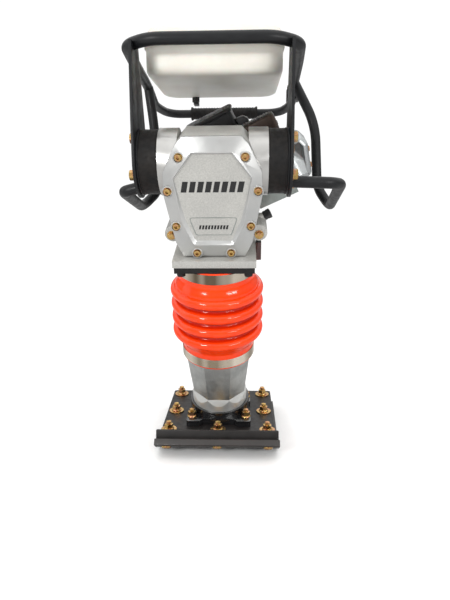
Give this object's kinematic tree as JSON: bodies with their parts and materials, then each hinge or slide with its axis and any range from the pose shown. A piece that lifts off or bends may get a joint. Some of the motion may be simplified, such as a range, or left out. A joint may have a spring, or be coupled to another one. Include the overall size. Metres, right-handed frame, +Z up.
{
  "type": "jumping jack rammer",
  "caption": "Upright soil rammer: petrol engine and crankcase on a sprung, bellows-sealed leaning leg with a flat shoe, held by a sprung tube handle.",
  "frame": {"origin": "on the ground, on the flat of the sole's underside and in the machine's middle plane, 9.4 mm ahead of where the leg's axis meets the ground", "axes": "+Z up, the turned-up toe points to -Y, the handle's rear grip to +Y, the engine's cylinder leans to +X"},
  "size_m": [0.489, 0.6894, 0.9603],
  "materials": {
    "black_paint": "gloss",
    "black_powder": "satin",
    "silver_paint": "satin",
    "cast_aluminium": "satin",
    "machined_aluminium": "satin",
    "steel": "satin",
    "stainless": "gloss",
    "yellow_zinc": "gloss",
    "orange_rubber": "gloss",
    "black_rubber": "matte",
    "board_wood": "satin",
    "black_plastic": "matte",
    "tank_plastic": "satin",
    "bronze": "satin",
    "gasket_paper": "matte",
    "engine_grey": "satin",
    "engine_black": "satin",
    "gauge": "gloss"
  },
  "bodies": {
    "shoe": {"sole_plate": "black_paint", "shoe_board": "board_wood", "board_washers": "yellow_zinc", "board_bolts": "yellow_zinc", "foot_casting": "black_paint", "foot_nuts": "yellow_zinc", "leg_casting": "cast_aluminium", "spring_cylinder": "steel", "cylinder_cap": "steel", "lower_spring": "steel", "upper_spring": "steel", "bellows": "orange_rubber", "lower_band": "stainless"},
    "crankcase": {"crankcase": "silver_paint", "cover_gasket": "gasket_paper", "crankcase_cover": "silver_paint", "cover_screws": "yellow_zinc", "guide_cylinder": "steel", "lower_flange": "black_paint", "case_bolts": "yellow_zinc", "upper_band": "stainless", "oil_gauge": "gauge", "mount_rubbers": "black_rubber", "shaft_bearings": "steel", "engine_block": "engine_grey", "cylinder_head": "engine_grey", "valve_cover": "cast_aluminium", "spark_plug": "black_rubber", "muffler": "engine_black", "carburettor": "cast_aluminium", "air_filter": "black_plastic", "recoil_housing": "engine_black"},
    "ram": {"piston_rod": "steel", "piston": "steel", "wrist_pin": "steel"},
    "connecting_rod": {"connecting_rod": "steel", "rod_bush": "bronze", "crank_pin": "steel"},
    "crank_gear": {"crank_gear": "steel"},
    "clutch_drum": {"clutch_drum": "steel"},
    "engine_shaft": {"engine_crankshaft": "steel", "flywheel": "cast_aluminium", "clutch_hub": "steel"},
    "clutch_shoe_left": {"clutch_shoe_left": "steel"},
    "clutch_shoe_right": {"clutch_shoe_right": "steel"},
    "handle": {"mount_discs": "black_powder", "side_plates": "black_powder", "plate_bolts": "yellow_zinc", "handle_loop": "black_powder", "guard_tubes": "black_powder", "rear_grip": "black_rubber", "fuel_tank": "tank_plastic", "throttle_clamp": "black_plastic"},
    "fuel_cap": {"fuel_cap": "black_plastic"},
    "throttle_lever": {"throttle_lever": "black_plastic"},
    "stop_switch": {"stop_switch": "black_plastic"},
    "fuel_valve": {"fuel_valve": "black_plastic"},
    "choke_lever": {"choke_lever": "steel"},
    "recoil_grip": {"recoil_grip": "black_plastic"},
    "oil_cap": {"oil_cap": "black_plastic"}
  },
  "joints": [
    {"name": "leg_slide", "type": "slide", "parent": "shoe", "child": "crankcase", "axis": [0, -0.2797, 0.9601], "range_m": [-0.03, 0.035], "stiffness_N_per_m": 40000, "springref_m": 0.011, "deforming": ["bellows", "lower_spring", "upper_spring"]},
    {"name": "ram_slide", "type": "slide", "parent": "crankcase", "child": "ram", "axis": [0, -0.2797, 0.9601], "range_m": [-0.028, 0.028], "stiffness_N_per_m": 20000, "springref_m": 0.0018, "deforming": ["lower_spring", "upper_spring"]},
    {"name": "rod_swing", "type": "hinge", "parent": "ram", "child": "connecting_rod", "pos_m": [0, -0.12691, 0.46795], "axis": [0, 0.9601, 0.2797], "range_deg": [-19.5, 0]},
    {"name": "crank_spin", "type": "hinge", "parent": "crankcase", "child": "crank_gear", "pos_m": [0, -0.14838, 0.63106], "axis": [0, 0.9601, 0.2797], "continuous": true},
    {"name": "drum_spin", "type": "hinge", "parent": "crankcase", "child": "clutch_drum", "pos_m": [0, -0.0821, 0.56443], "axis": [0, 0.9601, 0.2797], "continuous": true},
    {"name": "engine_spin", "type": "hinge", "parent": "crankcase", "child": "engine_shaft", "pos_m": [0, 0.02351, 0.5952], "axis": [0, 0.9601, 0.2797], "continuous": true},
    {"name": "clutch_left", "type": "slide", "parent": "engine_shaft", "child": "clutch_shoe_left", "axis": [-1, 0, 0], "range_m": [0, 0.0016], "stiffness_N_per_m": 8000},
    {"name": "clutch_right", "type": "slide", "parent": "engine_shaft", "child": "clutch_shoe_right", "axis": [1, 0, 0], "range_m": [0, 0.0016], "stiffness_N_per_m": 8000},
    {"name": "handle_swing", "type": "hinge", "parent": "crankcase", "child": "handle", "pos_m": [0, -0.15359, 0.6561], "axis": [1, 0, 0], "range_deg": [-3, 3], "stiffness_Nm_per_rad": 2500},
    {"name": "fuel_cap_turn", "type": "hinge", "parent": "handle", "child": "fuel_cap", "pos_m": [-0.05, 0.06, 0.95], "axis": [0, 0, 1], "range_deg": [0, 90]},
    {"name": "throttle_turn", "type": "hinge", "parent": "handle", "child": "throttle_lever", "pos_m": [0.1916, 0.25, 0.868], "axis": [0, 0, 1], "range_deg": [-10, 60]},
    {"name": "stop_switch_turn", "type": "hinge", "parent": "crankcase", "child": "stop_switch", "pos_m": [-0.108, 0.11184, 0.62092], "axis": [-1, 0, 0], "range_deg": [0, 60]},
    {"name": "fuel_valve_turn", "type": "hinge", "parent": "handle", "child": "fuel_valve", "pos_m": [-0.06, 0.12, 0.82], "axis": [0, 0, 1], "range_deg": [0, 90]},
    {"name": "choke_turn", "type": "hinge", "parent": "crankcase", "child": "choke_lever", "pos_m": [0.08642, 0.04479, 0.72381], "axis": [0, 0.9601, 0.2797], "range_deg": [0, 50]},
    {"name": "recoil_pull", "type": "slide", "parent": "crankcase", "child": "recoil_grip", "axis": [0, 0.9601, 0.2797], "range_m": [0, 0.25], "stiffness_N_per_m": 40, "springref_m": -0.05},
    {"name": "oil_cap_turn", "type": "hinge", "parent": "crankcase", "child": "oil_cap", "pos_m": [0.10573, -0.12984, 0.54597], "axis": [0.8829, -0.1313, 0.4507], "range_deg": [0, 180]}
  ],
  "couplings": [
    {"joint": "drum_spin", "follows": "crank_spin", "ratio": -3.125}
  ]
}
